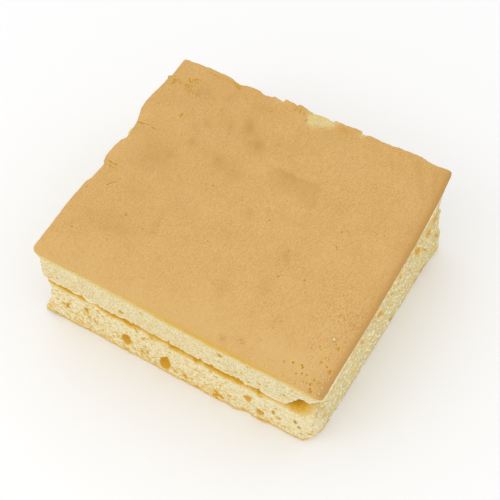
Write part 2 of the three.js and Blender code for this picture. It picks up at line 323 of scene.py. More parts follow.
def roughenSides(mesh, units, placed, layer):
    # the crumb of the cut sides: pores, bubbles and soft waves, and paint for how deep each point lies and
    # for the painted shade in the pores
    texture = layer["texture"]
    seed = texture["seed"]
    rng = random.Random(seed)
    pores = frontPores(layer["frontPores"])
    for side in sideNames:
        pores += strewPores(rng, side, layer["strewn"])
    sides = sideOf(units)
    onSide = rimReach(units) > 1 - 1e-5
    bare = onSide | ((units[:, 2] > 0.99) & (layer["bareTop"](placed[:, 0], placed[:, 1])))
    writePoints(mesh, placed)
    normals = readVectors(mesh.vertex_normals, "vector")
    depth, poreShade = np.zeros(len(units)), np.zeros(len(units))
    for index, name in enumerate(sideNames):
        chosen = onSide & (sides == index)
        along = placed[chosen, 1] if index < 2 else placed[chosen, 0]
        depth[chosen], poreShade[chosen] = sinkPores(rng, pores, name, along, placed[chosen, 2])
    spots = placed[bare]
    fine = bubbles(spots, texture["cellSize"], seed)
    fine = fine + 0.45 * bubbles(spots, texture["cellSize"] * 0.55, seed + 1)
    smeared = onSide & (sides == 1)
    depth[bare] += fine * texture["cellDeep"] * np.where(smeared[bare], texture["smearShare"], 1.0)
    move = -depth
    waves = np.array((texture["tornShare"], texture["smearShare"], 1.0, 1.0))[sides[bare]]
    move[bare] += lumps(spots, texture["waveSize"], seed + 2) * texture["waveDeep"] * waves
    torn = onSide & (sides == 0)
    move[torn] += lumps(placed[torn], texture["tornSize"], seed + 4) * texture["tornDeep"]
    writePoints(mesh, placed + normals * move[:, None])
    paint(mesh, pore=poreShade, hollow=depth, smear=smearOver(placed, smeared, onSide & (sides == 2), seed + 3))


# the right side, wiped by the knife
smears = {
    # the wiped part's front edge: how it slants about a height, and the size and depth of its waves
    "slant": 0.3,
    "slantFrom": 32,
    "edgeWaves": (3.0, 2.5),
    "cornerFrom": 70,
    "cornerWaves": (2.0, 1.2),
    "haze": 0.19,
    # brown smears, dragged down along y and z: y, z, half length, half width, strength
    "down": (0.58, -0.81),
    "spots": [
        (-9.6, 40, 8, 2, 1.1), (-30, 42, 7, 1.3, 1.1), (-17.6, 44, 4, 1.4, 0.8), (3, 41.5, 5, 1.4, 0.9),
        (11.5, 46, 2.5, 1.4, 1), (10, 41.5, 4, 1.2, 0.7), (32, 43, 8, 2.4, 1.2), (45.4, 43.5, 6, 3, 1.1),
        (53, 46.5, 8, 4, 1.1), (25.4, 34.3, 5, 1, 0.8), (44.4, 29.5, 9, 1.1, 1), (65, 17, 3, 1.2, 0.9),
        (12, 4.5, 3, 1.8, 1.4), (40.6, 4.6, 3, 1.2, 1.1), (51, 2.4, 4, 2.6, 1.5),
        (25.4, 19.7, 2.5, 1, 0.8), (14.5, 29.7, 2.5, 1, 0.8), (0.9, 36.3, 3, 1.2, 0.7),
        (-56, 6.5, 2.5, 1.4, 0.9), (-43.6, 5.7, 1.6, 1, 0.8), (-62, 17, 6, 1.4, 0.6),
        (-66, 32, 7, 1.2, 0.6), (-69, 40, 6, 1.2, 0.5), (-58, 36, 5, 1, 0.5), (-44.6, 28, 4, 1.5, 0.4),
    ],
}


def smearOver(placed, onRight, onFront, seed):
    # the wiped part covers the right side and turns the front corner
    smear = np.zeros(len(placed))
    x, y, z = placed[onRight].T
    size, deep = smears["edgeWaves"]
    y = y + deep * lumps(placed[onRight], size, seed) + smears["slant"] * (z - smears["slantFrom"])
    smear[onRight] = within("wiped", y=y)
    corner = onFront & (placed[:, 0] > smears["cornerFrom"])
    x, y, z = placed[corner].T
    size, deep = smears["cornerWaves"]
    smear[corner] = within("wipedCorner", x=x + deep * lumps(placed[corner], size, seed), z=z)
    return smear


def rustOver(y, z):
    rust = smears["haze"] * within("browned", z=z)
    for spotY, spotZ, long, wide, strength in smears["spots"]:
        spot = turnedOval(y - spotY, z - spotZ, smears["down"], long, wide)
        rust = np.maximum(rust, strength * spot)
    return rust


def makeLayer(name, layer, node):
    piece = makePiece(name, spongeBlank(layer))
    mesh = piece.data
    units = readVectors(mesh.vertices, "co")
    placed, level = placeInLayer(layer, units)
    layer["tear"](placed, level)
    roughenSides(mesh, units, placed, layer)
    x, y, z = placed.T
    onTop = (units[:, 2] > 0.99) & (rimReach(units) < 0.999)
    onRight = sideOf(units) == 1
    paint(
        mesh,
        below=layer["roof"](x, y) - z + layer["topPale"] * onTop + np.interp(x, *layer["rimFade"]),
        above=z - layer["floor"](x, y),
        rimGold=np.interp(x, *layer["rimGold"]),
        wrap=layer["wrap"](x, y, z) * onRight,
        rust=rustOver(y, z) * onRight,
        paler=within("paler", x=x),
        back=within("back", y=y),
        bare=onTop * 1.0,
    )
    finishMesh(mesh)
    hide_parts(node)
    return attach(piece, "root")


# the torn left side is rougher, the wiped right side flatter
cutSides = {"tornShare": 1.7, "tornSize": 1.7, "smearShare": 0.35}
thinCorner = {"waveSize": 2.4, "waveDeep": 0.8}


def crumbleCorner(placed):
    # the thin corner beside the pocket has wavy faces
    x, y, z = placed.T
    corner = within("thinCorner", x=x, y=y, z=z)
    placed[:, 0] += thinCorner["waveDeep"] * corner * lumps(placed, thinCorner["waveSize"], 61)


# Lower layer
shoulder = {
    # how far the lower layer's top sinks along the front, at each x
    "x": (-80, -40, 0, 35, 60, 68, 72, 77, 80),
    "sink": (1.6, 1.5, 1.5, 1.8, 2.0, 2.6, 4.4, 6.6, 6.6),
    "wide": 10.0,
    # the front right corner stands up again beside the pocket
    "cornerX": (74.5, 76, 77.2, 78.3, 79.5),
    "cornerRise": (0, 0.8, 3.0, 9.0, 13.0),
    "cornerWide": 9.0,
    # inside the pocket the floor swells up behind the front edge
    "swellX": (64, 68, 71, 74, 77),
    "swell": (0, 0.6, 3.0, 5.0, 5.5),
    "swellY": -65.0,
    "swellWide": 4.2,
}


def topOfLower(x, y):
    height = heightOver(block["split"], x, y) - block["gap"] / 2
    inward = np.clip((y + halfDepth) / shoulder["wide"], 0, 1)
    height = height - np.interp(x, shoulder["x"], shoulder["sink"]) * (1 - inward) ** 2
    swell = np.interp(x, shoulder["swellX"], shoulder["swell"])
    height = height + swell * bell(y, shoulder["swellY"], shoulder["swellWide"])
    inward = np.clip((y + halfDepth) / shoulder["cornerWide"], 0, 1)
    return height + np.interp(x, shoulder["cornerX"], shoulder["cornerRise"]) * (1 - inward)


def tearLower(placed, level):
    x, y, z = placed.T
    # a scrap that leans out at the foot of the front left corner
    scrap = bell(y, *lower["scrapY"]) * within("scrap", x=x)
    placed[:, 0] -= np.interp(z, *lower["scrapOut"]) * scrap
    placed[:, 2] -= np.interp(z, *lower["scrapDown"]) * scrap
    # the front right corner is worn away, the foot beside it is uneven
    placed[:, 0] -= lower["wornDeep"] * within("wornCorner", x=x, y=y, z=z)
    for at, reach, out in lower["footTeeth"]:
        placed[:, 1] -= out * bell(x, at, reach) * within("frontFoot", y=y, z=z)
    # the back right corner is nibbled under the split and sticks out at the foot
    corner = within("backRight", x=x, y=y)
    placed[:, 0] += np.interp(z, *lower["cornerOut"]) * corner
    placed[:, 1] += lower["cornerFootOut"] * within("cornerFoot", z=z) * corner
    crumbleCorner(placed)


lower = {
    "height": 35.0,
    "columns": (100, 90, 24),
    "fineCuts": 2,
    "rimStart": 0.972,
    "fineSpots": [],
    "hidden": [(-1, 0.97), (1, 0.72)],
    "cornerRadius": 4.0,
    "topRadius": 4.0,
    "rightTopRadius": 0.4,
    "bottomRadius": 0.9,
    "rightBottomRadius": 0.9,
    "sides": {
        "left": {"out": -2.2, "swells": [(30, 20, 0.8), (-68, 8, 0.9)]},
        "right": {"out": 0.5, "lean": 0.024, "flare": 0.9, "swells": [(-72, 14, -0.8)]},
        "front": {
            "outline": [
                (-80, -1), (-60, -1.1), (-40, -0.8), (-10, -0.1), (10, 0.5), (30, 0.3), (50, 0), (80, 0),
            ],
            "flare": -0.6,
        },
        "back": {"out": -0.2, "swells": [(-20, 26, 0.8)]},
    },
    # the scrap: middle and reach in y, then heights, and how far it leans out and hangs down there
    "scrapY": (-70.5, 2.6),
    "scrapOut": ((2.2, 3.4, 5, 18), (0, 7, 6.16, 0)),
    "scrapDown": ((2.4, 3.4, 9), (0, 2, 0)),
    "wornDeep": 3.9,
    # teeth of the foot along the front: x, reach, how far out
    "footTeeth": [
        (24, 4, 0.4), (33, 2.6, 0.8), (41, 2.6, -0.7), (49.5, 2.6, 0.5), (57, 4, -0.6), (72, 4, -0.4),
    ],
    # the back right corner: heights, and how far it stands out there
    "cornerOut": (
        (0, 3, 5, 8, 12, 15, 17, 19, 24, 30, 36),
        (0.8, 1.2, 1.1, 0.3, 0.3, 0.1, -0.6, -1.7, -2.1, -2.6, -2.7),
    ),
    "cornerFootOut": 0.6,
    "floor": lambda x, y: np.zeros_like(x),
    "roof": topOfLower,
    "tear": tearLower,
    "bareTop": lambda x, y: y < -52,
    "topPale": 0.0,
    # where the painted shade on the shoulder and in the pocket is weaker (plus) or richer (minus): x, then by
    # how much
    "rimFade": (
        (-70, -64, -60, -55, -52, -47, -44, -39, -35, -32, -28, -25.5, -22, -18, -15, -12, -10, -7, -4.4, -3,
         -1.2, 0.5, 4, 8, 10, 11.5, 13, 15, 17, 20, 34, 37.5, 40, 43, 45.8, 46.7, 47.6, 49, 52, 67, 70, 73,
         76, 80),
        (-2, -2.6, -1.8, -2.1, -0.8, -0.9, -2, -2.7, -2.1, -2.1, -2.8, -1.8, 0.2, 0, -1, -0.6, -0.9, 0.2,
         -0.1, -1.8, -1.4, -0.9, -0.2, 0, -0.6, -2.4, -1, 0.3, -0.3, -0.8, -0.8, -0.6, 0.2, 0.1, -0.2, -1.8,
         -0.6, 0.3, 0.8, 0.9, 1.4, 2.3, 3.4, 4.2),
    ),
    "rimGold": ((-80, 80), (1.0, 1.0)),
    "wrap": lambda x, y, z: np.zeros_like(x),
    "texture": dict(cutSides, seed=4, cellSize=2.1, cellDeep=0.34, waveSize=8.0, waveDeep=0.5, tornDeep=0.9),
    # pores seen on the front: x, z, wide, tall, deep, turn, and how much more painted shade than their depth
    # gives
    "frontPores": [
        (-31.2, 12.3, 5.3, 11.4, 3.2, -0.26), (-7.3, 9.3, 6.7, 12, 3.6, -0.18),
        (41, 16.3, 4.8, 5.8, 1.5, 0.1), (48.1, 8.2, 4.8, 4.8, 1.8, 0.1), (48.6, 2.2, 4.2, 2.6, 1.4, 0.1),
        (22.4, 3.8, 4, 2, 0.9, 0.8, 5), (23.1, 7, 3.8, 1.9, 0.9, -1.2, 5),
        (25.6, 4.8, 4.4, 2, 0.9, -0.45, 5), (23.9, 1.3, 2.6, 1.6, 0.7, -1.1, 5),
        (-55, 20.8, 2.8, 4.2, 1.7, 0.2), (-24, 27, 1.3, 5.5, 1.2, 0.1), (-67.8, 14.9, 2.6, 4.2, 1.9, -0.3),
        (-70.4, 15.4, 1.8, 2.4, 1.2, 0), (-50, 13.5, 2.2, 2.8, 1.4, 0.2), (-56.5, 16.4, 1.8, 2.2, 1.1, 0),
        (-44.7, 22.8, 1.8, 2, 1.1, 0), (-59.1, 5, 2.2, 2, 1.2, 0), (-21.6, 8, 2.6, 2, 1.3, 0.4),
        (67.6, 16.4, 1.8, 4.2, 1.8, 0.2), (70.2, 12.8, 2.6, 2.4, 1.6, 0.1),
        (55.4, 14.7, 1.8, 4.2, 1.5, 0.1), (58.7, 12.3, 2.6, 2, 1.3, 0.3), (4.7, 6.8, 2.6, 3.6, 1.7, 0.1),
        (22.9, 21.9, 1.8, 2.2, 1.1, 0.2), (-31, 2.9, 1.6, 2.4, 1.1, 0.1), (74.2, 5, 1.8, 2.6, 0.9, -0.4),
        (76.2, 10.4, 1.6, 3.4, 0.9, -0.4), (77.6, 14.6, 1.4, 3, 0.8, -0.4),
    ],
    "strewn": {
        "density": 0.062,
        "sizes": (0.9, 2.6),
        "crowd": 1.5,
        "between": (0.6, 31.0),
        "smoothFront": [(71, 25, 6), (74, 18, 4), (36.3, 15.5, 2.5)],
    },
}

# Upper layer
pocket = {
    # lip of the pocket at the front right corner: how far it rises above the split at each x
    "x": (56, 59, 61, 63, 65.5, 67.5, 69.5, 71.2, 73.2, 75, 76.4, 77.8, 79.2, 80.5),
    "rise": (0, 0.9, 0.6, 2.4, 6.2, 9.4, 12.4, 13.4, 12.9, 14.2, 16.2, 17.4, 17.4, 15.0),
    "deep": 14.0,
}
lip = {
    # ragged teeth of the upper layer's lower edge: x, reach, how far down
    "teeth": [
        (-64, 2, -0.7), (-54.8, 0.6, -2.8), (-50, 2.4, 0.6), (-45, 0.6, -2), (-38, 6, 0.9),
        (-35.2, 0.5, -1), (-27.5, 1.6, -0.7), (-23.6, 0.6, -1.6), (-8, 2.4, 0.5), (-3.2, 0.6, -2.8),
        (5, 0.5, -0.8), (8, 2.2, 0.5), (15, 0.7, -1.8), (21.6, 0.9, -1.2), (29, 2.2, 0.5),
        (36.2, 0.7, -1.6), (40.4, 1.4, 1.2), (47.4, 0.7, -1.6), (52, 7, 0.8), (58.6, 2.6, 0.6),
    ],
    "ragged": 1.2,
    "fineRagged": 0.4,
}


def underUpper(x, y):
    floor = heightOver(block["split"], x, y) + block["gap"] / 2
    rise = np.interp(x, pocket["x"], pocket["rise"])
    inward = np.clip((y + halfDepth + 1) / pocket["deep"], 0, 1)
    hollow = floor + rise * np.sqrt(1 - inward ** 2)
    # on the right a thin wall stands on the lower layer
    wall = ease(79.0, 79.9, x)
    return hollow + (topOfLower(x, y) + block["gap"] - hollow) * wall


def tearUpper(placed, level):
    x, y, z = placed.T
    # the crumb's top lies under the skin
    bald = 1 - ease(1.3, 2.6, baldness(x, y))
    placed[:, 2] -= upper["skinBed"] * within("underSkin", level=level) * (1 - 0.9 * bald)
    # ragged lower lip
    flat = placed * (1, 1, 0)
    ragged = lumps(flat, 2.6, 31, 4) * lip["ragged"] + lumps(flat, 0.9, 33, 2) * lip["fineRagged"]
    for at, reach, down in lip["teeth"]:
        ragged -= down * bell(x, at, reach) * within("frontLip", y=y)
    placed[:, 2] += ragged * within("lowerLip", level=level)
    # the front left corner flares out under the skin
    placed[:, 0] -= upper["flareOut"] * bell(y, *upper["flareY"]) * within("flare", x=x, level=level)
    # the back right corner leans in towards the split
    placed[:, 0] -= np.interp(level, (0, 1), upper["leanIn"]) * within("backRight", x=x, y=y)
    # on the right the knife has dragged the crumb down over the split
    placed[:, 2] -= upper["dragDown"] * within("dragged", x=x, y=y, level=level)
    crumbleCorner(placed)


upper = {
    "height": 23.0,
    "columns": (104, 94, 16),
    "fineCuts": 2,
    "rimStart": 0.972,
    "fineSpots": [(5, 71, 12), (30, 71, 5)],
    "hidden": [(-1, 0.72)],
    "cornerRadius": 3.0,
    "topRadius": 1.2,
    "rightTopRadius": 1.2,
    "bottomRadius": 0.7,
    "rightBottomRadius": 0.2,
    "sides": {
        "left": {
            "out": 0.0,
            "swells": [(38, 14, 2.0), (15, 5.5, 0.3), (-15.5, 5, 0.7), (-45, 22, -0.2), (-71, 9, -1.9)],
        },
        "right": {"out": 1.4, "lean": 0.006, "footLean": 0.016, "flare": 0.5, "swells": [(74, 14, -1.2)]},
        "front": {"out": 0.3, "flare": 0.2, "swells": [(-50, 18, -0.3), (20, 16, 0.3)]},
        "back": {
            "out": 0.9,
            "swells": [
                (-44, 5, -1.2), (-29, 4, -1), (-20, 3, 0.8), (5.5, 7, 1.3), (30, 4, 0.9), (66, 10, -0.9),
            ],
        },
    },
    "floor": underUpper,
    "roof": topOfBlock,
    "tear": tearUpper,
    "bareTop": lambda x, y: y > 60,
    "topPale": 5.2,
    "rimFade": ((-80, -18, -6, 44, 56, 80), (0.8, 0.6, 0.0, 0.0, 0.5, 1.0)),
    # how golden the edge under the skin is, at each x
    "rimGold": ((-80, -40, -20, 0, 40, 54, 62, 70, 80), (0.0, 0.0, 0.35, 0.9, 1.0, 0.5, 0.3, 0.12, 0.05)),
    "wrap": lambda x, y, z: ease(46, 74, y + 0.9 * (z - 52)),
    "skinBed": 0.8,
    "flareOut": 2.2,
    "flareY": (-71, 6),
    # at the split and at the top
    "leanIn": (4.5, 0.9),
    "dragDown": 0.9,
    "texture": dict(cutSides, seed=9, cellSize=1.4, cellDeep=0.21, waveSize=7.0, waveDeep=0.15, tornDeep=0.8),
    "frontPores": [
        (26.3, 46.6, 3.4, 2.6, 1.8, 0.1), (-30.5, 40.2, 3, 2.6, 1.8, 0), (-18, 49, 1.8, 1.4, 0.9, 0),
        (47.6, 37.4, 1.5, 2.4, 0.9, 0.2), (61, 38.2, 1.8, 1.6, 0.9, 0.5), (59.2, 36.2, 1.3, 1.3, 0.7, 0.3),
        (42, 34.4, 1.6, 1.6, 0.8, 0), (30, 34.4, 1.5, 1.4, 0.8, 0), (51.6, 38.6, 1.2, 1.2, 0.6, 0),
        (35, 38, 1.2, 1.6, 0.6, 0.4), (25.6, 40, 1.2, 1.4, 0.6, 0.4),
    ],
    "strewn": {
        "density": 0.022,
        "sizes": (0.7, 1.9),
        "crowd": 1.0,
        "between": (30.0, 62.0),
        "smoothFront": [],
    },
}

# Browned skin
skin = {
    "columns": (190, 170),
    "rimStart": 0.97,
    "fineCuts": 2,
    "fineSpots": [
        (-68, 58.5, 7), (-76.5, 56.2, 4), (-44.5, 69.5, 4), (-75, 21.5, 6), (-74, -9, 6), (5, 69, 10),
    ],
    "nickReach": 1.5,
    "crackReach": 0.9,
    "thick": 1.1,
    "proud": 0.25,
    # fine cracks that open to the crumb: from x, y to x, y, then width and depth
    "cracks": [
        (-79.5, 22, -76.5, 22.6, 0.7, 0.4), (-75.8, 22.8, -73.6, 23.2, 0.6, 0.3),
        (-70.6, 22.4, -69.4, 22.7, 0.7, 0.3), (-79, -7, -77.2, -7.5, 0.6, 0.3),
        (-75.9, -7.6, -73.3, -7.2, 0.6, 0.3), (-77, -9.2, -75.3, -10.2, 0.5, 0.2),
        (-66.6, -13, -67.4, -16.4, 0.5, 0.2), (-67.4, -16.4, -70.2, -19.2, 0.5, 0.2),
        (-1.6, 70.5, -2, 66, 0.7, 0.5), (30.6, -25.6, 34.4, -22.4, 0.4, 0.1),
        (61, 20.9, 63.4, 20, 0.5, 0.15), (48.2, 4.2, 50, 2.6, 0.5, 0.2),
    ],
    # soft wrinkles: from x, y to x, y, then width and depth
    "wrinkles": [
        (62.5, 70.5, 68.5, 60, 3.4, 0.2), (68.5, 60, 73, 51, 3, 0.2), (72.4, 70, 77, 58, 2.6, 0.2),
        (-34.8, 48, -34.6, 43, 1.4, 0.2), (-34.6, 43, -33, 39, 1.4, 0.2), (-30.6, 57, -29.8, 63, 1.4, 0.2),
    ],
    # crackled patches of golden flecks: x, y, reach in x, reach in y, strength
    "crackle": [
        (-70.4, 60.8, 1.6, 1.4, 0.9), (-67, 62.4, 2.2, 1.6, 0.9), (-69.6, 56.8, 2.2, 2.6, 0.75),
        (-66.4, 55.8, 2, 2.4, 0.65), (-76.4, 57.2, 2.6, 1.2, 1.1), (-77.6, 54.8, 1.3, 1.8, 1),
        (-46.4, 70, 1.8, 1.4, 0.8), (-44, 68.4, 1.4, 1.6, 0.9), (-58, 70.6, 8, 0.8, 0.6),
        (-74, -9.8, 3, 1.8, 0.6), (-8.6, 71, 2.4, 2.2, 0.65), (-3.8, 70.2, 1.6, 2, 0.6),
        (19.8, 70.6, 3.4, 1.8, 0.55), (40.5, -59.6, 2, 0.8, 0.6),
    ],
    # dimpled patches: x, y, reach in x, reach in y, strength
    "dimples": [(-60, 55.5, 5.5, 4.0, 1.3), (-55, 52, 4, 3, 0.6), (-63, 52.5, 2, 2, 0.8)],
    # single golden nicks: x, y, size
    "nicks": [
        (56.2, -63.6, 1), (60, -61.8, 1.2), (64.4, -61.2, 1.1), (65.2, -62.2, 1.2), (66.2, -64.9, 1),
        (71.9, -67.4, 1.1), (72.3, -68.4, 0.8), (73.2, -69.9, 1.1), (73.8, -70.9, 1.3), (74.6, -56, 1.3),
        (76.9, -57, 1.2), (77.4, -58.2, 1.2), (75.1, -44.8, 1.1), (75.4, -45.8, 0.9), (68.1, -29.2, 1),
        (65.9, -71.1, 0.9), (59.6, -70.2, 0.7), (63.9, -66.2, 0.8), (68.4, -64.3, 0.8), (71.5, -55.3, 0.9),
        (71, -56.6, 0.7), (72.3, -52.7, 0.8), (73.6, -52.8, 0.7), (72.8, -64.8, 0.9), (74.9, -65.7, 0.8),
        (68.8, -68.4, 0.8), (70.2, -68, 0.7), (77.2, -70.2, 0.7), (68.5, -49.7, 0.6), (65.5, -49.9, 0.6),
        (73.2, -43.8, 0.7), (77.5, -48.8, 0.6), (78.5, -32.3, 0.7), (43.2, -51, 0.7), (33, -63.8, 0.8),
        (47.5, -26.3, 0.7), (40.6, -31.2, 0.7), (32, -25.2, 0.8), (19.6, -35.4, 0.8), (47.2, 13.1, 1),
        (49.7, 14.7, 0.9), (50.7, 12.5, 0.6), (43.4, 11, 0.6), (34.6, 21.8, 0.6), (12.4, 1.2, 0.9),
        (11.7, -0.4, 0.8), (29.2, -9.8, 0.9), (32, -4.6, 0.6), (60, -7, 0.8), (43.8, -20.6, 0.8),
        (64.4, -18.8, 0.8), (-70.6, -20.3, 1.2), (-76.7, -7.6, 0.9), (-52.4, -31.2, 1.1),
        (-72, -50.8, 1.2), (-70.4, -50, 0.7), (-57, -44.2, 0.9), (-53, -48.2, 0.7), (-8.3, -24.8, 0.9),
        (-23, 5.5, 0.9), (-61.6, 37.6, 1), (-61.2, 36, 0.9), (-79, 50, 1.1), (-76, 38, 0.9),
        (-33.2, 39.4, 0.7), (-34.4, 43.6, 0.7), (-20.8, 63.3, 0.8),
    ],
    # darker stains, partly painted shade along the dents and wrinkles, and paler ones below zero, which are
    # painted highlights: x, y, reach along, reach across, turn, strength
    "stains": [
        (-26.4, 48.8, 3.3, 5.4, 30, 1.2), (-16, 40.8, 3.4, 5.6, 30, 1.2), (-20.5, 38, 4, 5, 30, 0.35),
        (-8, 44, 5, 2.4, 30, 0.45), (-35, 44, 1.6, 5, 30, 0.45), (-11.6, 42.6, 1.1, 2.4, 30, -0.6),
        (-60, 7.5, 9.5, 9.5, 0, 0.6), (-53.7, 12.6, 3, 3.2, 30, 0.5), (-69, 16.1, 5, 4, 30, 0.25),
        (-28.8, 20.9, 2.8, 3.8, 30, 0.85), (-23.1, 18, 9, 6.5, 0, 0.42), (-15.8, 16.3, 4.2, 4.2, 30, 0.5),
        (-36.8, 22.2, 5, 5, 30, 0.32), (-47.2, 24.5, 2.1, 3, 30, 0.9), (-48, 31, 2, 4, 30, 0.4),
        (-46.6, 39, 1.5, 2.8, 30, 0.8), (-51.5, 34.5, 1.5, 2, 30, 0.45), (1.4, -0.4, 2.2, 4, 30, 0.5),
        (-9.8, 4.4, 1.2, 1.8, 30, 0.45), (-59.5, 57.6, 6, 3.6, 8, 0.65), (-44.5, 60.1, 3.5, 3, 30, 0.5),
        (-42, 49.9, 3, 6, 30, 0.3), (-24.6, 62.6, 6, 3, 15, 0.5), (-20, 72, 5, 2, 10, -1),
        (-57, -37, 10, 7.5, 12, 0.42), (-68.6, -38.4, 4, 4, 30, 0.3), (-57.1, -42, 6, 3, 20, 0.3),
        (-46.3, -39.5, 5, 3, 0, 0.4), (-35.7, -29, 2.6, 7, 0, 0.6), (-23.8, -34.7, 5, 5, 0, 0.22),
        (-34.1, -12.9, 10, 8, 0, 0.36), (-56.5, -16.4, 9, 7, 0, 0.34), (-73.2, -50.5, 3, 3, 0, 0.35),
        (-2.1, -17, 5, 5, 0, 0.3), (29.8, -13.4, 1.8, 3.6, 30, 0.8), (33.2, -9.6, 1.8, 1.4, 30, 0.45),
        (30.6, -12.6, 4.5, 5.5, 30, 0.2), (29, -33, 5.5, 5.5, 30, 0.42), (11.4, -44.2, 3.5, 6.5, 10, 0.42),
        (42.8, -47.8, 4, 4, 30, 0.35), (38.6, 25.2, 5, 4.5, 30, 0.35), (57.8, 21.4, 1.5, 2.2, 30, 0.5),
        (25.2, -67.6, 2, 1.9, 30, 1.5), (33.7, -63.8, 1.9, 1.9, 30, 0.9), (77, -66, 4, 5, 0, 0.6),
        (-78.5, 27.1, 3.6, 6, 0, -0.5), (-79.5, -0.4, 3.6, 6, 0, -0.5), (67.6, 62.2, 10, 2.4, -58.7, 0.38),
        (75.6, 61, 9, 1.8, -64, 0.35), (49, 64.6, 5, 1.8, -58, 0.3), (57.5, 66, 6, 1.8, -58, -0.3),
        (58, -60, 14, 6, 0, -0.35),
    ],
    # one long painted shade along a dent, with a sharp back edge: places of that edge in x and in y
    "shade": ((-8, -4, 3, 12, 24, 28), (31.4, 32.0, 32.8, 32.6, 33.0, 32.2)),
    # warmer places along the back rim: x, y, reach in x, reach in y, strength
    "warm": [(-57, 70.8, 9, 0.9, 0.45), (-47, 70.4, 3, 1.2, 0.4), (-8, 71.4, 4, 2, 0.3), (18, 71, 5, 2, 0.3)],
    # places with no skin at the rim: x, y, reach in x, reach in y
    "bald": [(5.4, 73.6, 6.6, 6.0), (2.0, 70, 3.4, 5.0), (29.6, 74.8, 1.5, 3.8)],
}
# the skin's own outline: place along the side, then how far it reaches out of the plain block
skinSides = {
    "left": {"outline": [
        (-72, 0.5), (-69, 1.6), (-60, 1.8), (-45, 2.2), (-35, 2.2), (-24, 1.7), (-21, 0.5), (-15, -0.1),
        (-11, -0.3), (-8, 1), (-5, 2), (2, 1.8), (7, 1), (10, -0.7), (12, -1), (17, -0.7), (22, 0.2),
        (26, 1.5), (31, 3.2), (37, 3.8), (43, 3.2), (50, 2.3), (55.5, 2), (57.2, 2.9), (58.8, 1.2),
        (65, 1.2), (72, 1.3),
    ]},
    "right": {"outline": [(-72, 0.8), (-30, 2.0), (-5.5, 2.3), (26, 2.5), (53, 1.9), (64, 1.2), (71, 0.7)]},
    "front": {"outline": [(-80, 0.5), (-50, 0.0), (20, 0.5), (80, 0.3)]},
    "back": {"outline": [
        (-80, 1), (-75, 1.4), (-66, 2), (-60, 2), (-51, 1.5), (-48, 0.4), (-45, -0.6), (-43, -0.3),
        (-41, 0.6), (-37, 1), (-33, 1.1), (-31, -0.2), (-29, -0.5), (-27, 0.1), (-25.5, 0.5), (-24.7, 1.5),
        (-20, 0.6), (-18.4, 0.4), (-17.9, 2.6), (-14, 2.4), (-11.5, 2), (-10.8, 1.2), (-9.8, 2.9),
        (-6, 2.3), (-2, 1.7), (11, 1.6), (12, 2.7), (18, 2.1), (24, 2.8), (27.7, 2.7), (28.4, 1.5),
        (34, 2), (45, 1.5), (55, 2.3), (62, 2.3), (68, 1.1), (71, 1), (76, 2.2), (79, 2), (80, 1.4),
    ]},
}
skinLayer = dict(upper, sides=skinSides, topRadius=0.7, rightTopRadius=1.6, cornerRadius=2.4)


def baldness(x, y):
    # under 1 where the skin is missing, growing with the distance
    return np.min([((x - bx) / rx) ** 2 + ((y - by) / ry) ** 2 for bx, by, rx, ry in skin["bald"]], axis=0)


def stainsOver(x, y):
    # soft oval stains, painted shade and highlights, each turned about its middle, added up with the long
    # painted shade
    total = np.zeros(len(x))
    for midX, midY, along, across, turn, strength in skin["stains"]:
        direction = math.cos(math.radians(turn)), math.sin(math.radians(turn))
        total += strength * turnedOval(x - midX, y - midY, direction, along, across)
    # how far a point lies in front of the long one's back edge, which is darkest
    into = np.interp(x, *skin["shade"]) - y + 0.5 * np.sin(0.9 * x)
    ends = ease(-11, 3, x - 0.5 * into) * ease(27, 22, x - 0.4 * into)
    deep = 0.1 + 0.42 * bell(x, 8, 6) + 0.2 * bell(x, 24, 3.5)
    return total + ends * ease(-0.6, 1.4, into) * (deep * bell(into, 1.4, 2.6) + 0.58 * ease(19, 5, into))


def makeCracks():
    cracks = list(skin["cracks"])
    rng = random.Random(23)
    for x, y, size in skin["nicks"]:
        angle = rng.uniform(0.9, 2.4)
        dx, dy = 0.3 * size * math.cos(angle), 0.3 * size * math.sin(angle)
        cracks.append((x - dx, y - dy, x + dx, y + dy, 0.8 * size, 0.3 * size))
    return cracks


def sinkCracks(x, y, cracks, wobble):
    # how deep the cracks lie at each point, how open they are and how near, with wobbling sides
    wavy = lumps(np.stack((x, y, np.zeros_like(x)), axis=1), 1.1, 41, 2) * wobble
    depth, opened, nearby = np.zeros(len(x)), np.zeros(len(x)), np.zeros(len(x))
    for startX, startY, endX, endY, wide, deep in cracks:
        runX, runY = endX - startX, endY - startY
        length = max(runX * runX + runY * runY, 1e-6)
        share = np.clip(((x - startX) * runX + (y - startY) * runY) / length, 0, 1)
        away = np.hypot(x - startX - share * runX, y - startY - share * runY) + wavy
        gape = np.clip(1 - (away / (0.55 * wide)) ** 2, 0, 1)
        depth = np.maximum(depth, deep * gape)
        opened = np.maximum(opened, gape * min(1, deep / 0.3))
        nearby = np.maximum(nearby, np.clip(1 - (away / (1.2 * wide)) ** 2, 0, 1))
    return depth, opened, nearby


